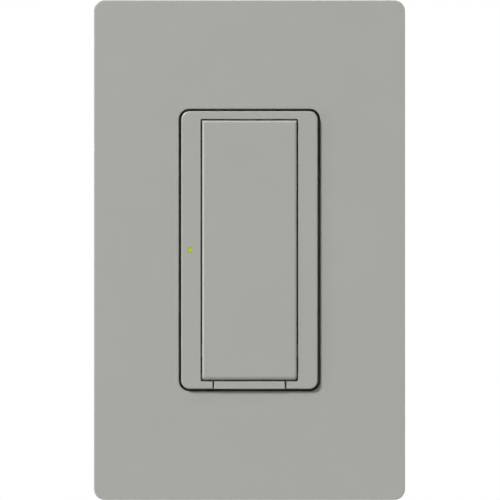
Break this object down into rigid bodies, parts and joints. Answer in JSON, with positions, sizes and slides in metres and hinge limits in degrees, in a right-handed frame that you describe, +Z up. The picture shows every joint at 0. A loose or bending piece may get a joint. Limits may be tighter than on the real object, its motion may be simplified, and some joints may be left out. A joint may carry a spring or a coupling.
{
  "type": "wireless wall switch",
  "caption": "Flush wall switch with a hinged paddle in a bezel, a pull-out service tab, a status light and a screwless clip-on faceplate, on an aluminium strap with its housing behind.",
  "frame": {"origin": "in the wall plane, halfway between the two box screw holes", "axes": "+X to the right seen from the room, +Y into the wall box along the box screws, +Z up"},
  "size_m": [0.0742, 0.0424, 0.119],
  "materials": {
    "grey_moulding": "smooth satin grey moulded plastic",
    "adapter_plastic": "plain grey moulded plastic",
    "light_pipe_plastic": "clear plastic pin lit yellow-green from behind",
    "strap_aluminium": "stamped mill-finish sheet",
    "housing_plastic": "dark grained moulded plastic",
    "carrier_plastic": "natural moulded plastic",
    "zinc_screw": "zinc plated",
    "green_screw": "green dyed plated steel",
    "brass_terminal": "bright stamped brass",
    "nickel_terminal": "nickel plated",
    "copper_strip": "rolled copper",
    "silver_tip": "silver alloy rivet",
    "circuit_board": "green lacquered laminate",
    "black_plastic": "black moulded plastic",
    "plunger_plastic": "pale moulded plastic",
    "light_chip": "pale resin",
    "tinned_sheet": "tinned steel sheet",
    "relay_case": "dark blue moulded case",
    "ferrite": "sintered ferrite",
    "winding_tape": "yellow film tape over the winding",
    "capacitor_sleeve": "shrunk black sleeve",
    "film_case": "yellow moulded box",
    "varistor_dip": "blue dipped resin",
    "resistor_lacquer": "pale lacquer"
  },
  "bodies": {
    "device": {"adapter_plate": "adapter_plastic", "adapter_screws": "zinc_screw", "antenna": "tinned_sheet", "back_housing": "housing_plastic", "bezel": "grey_moulding", "board_header": "black_plastic", "board_header_pins": "tinned_sheet", "control_board": "circuit_board", "control_board_screws": "zinc_screw", "electrolytic_capacitor_left": "capacitor_sleeve", "electrolytic_capacitor_right": "capacitor_sleeve", "faceplate": "grey_moulding", "film_capacitor": "film_case", "fixed_contact_left": "brass_terminal", "fixed_contact_right": "brass_terminal", "fusible_resistor": "resistor_lacquer", "ground_screw": "green_screw", "housing_screws": "zinc_screw", "light_pipe": "light_pipe_plastic", "power_board": "circuit_board", "power_board_screws": "zinc_screw", "processor": "black_plastic", "radio_shield": "tinned_sheet", "relay": "relay_case", "status_light": "light_chip", "tact_switch_body": "black_plastic", "terminal_clamp_left_lower": "nickel_terminal", "terminal_clamp_left_upper": "nickel_terminal", "terminal_clamp_right_lower": "brass_terminal", "terminal_clamp_right_upper": "brass_terminal", "terminal_plate_left_lower": "nickel_terminal", "terminal_plate_left_upper": "nickel_terminal", "terminal_plate_right_lower": "brass_terminal", "terminal_plate_right_upper": "brass_terminal", "terminal_screws_left": "nickel_terminal", "terminal_screws_right": "brass_terminal", "transformer_core": "ferrite", "transformer_winding": "winding_tape", "varistor": "varistor_dip", "yoke": "strap_aluminium"},
    "paddle": {"paddle": "grey_moulding"},
    "tact_plunger": {"tact_switch_plunger": "plunger_plastic"},
    "service_tab": {"service_tab": "grey_moulding", "contact_carrier": "carrier_plastic", "contact_bridge": "copper_strip", "moving_tips": "silver_tip"}
  },
  "joints": [
    {"name": "paddle_hinge", "type": "hinge", "parent": "device", "child": "paddle", "pos_m": [0, -0.00455, 0.02753], "axis": [1, 0, 0], "range_deg": [0, 0.8], "stiffness_Nm_per_rad": 0.6, "springref_deg": -2.86},
    {"name": "tact_press", "type": "slide", "parent": "device", "child": "tact_plunger", "axis": [0, 1, 0], "range_m": [0, 0.0004]},
    {"name": "service_tab_slide", "type": "slide", "parent": "device", "child": "service_tab", "axis": [0, -1, 0], "range_m": [0, 0.0035]}
  ],
  "couplings": [
    {"joint": "tact_press", "follows": "paddle_hinge", "m_per_rad": 0.0215}
  ]
}
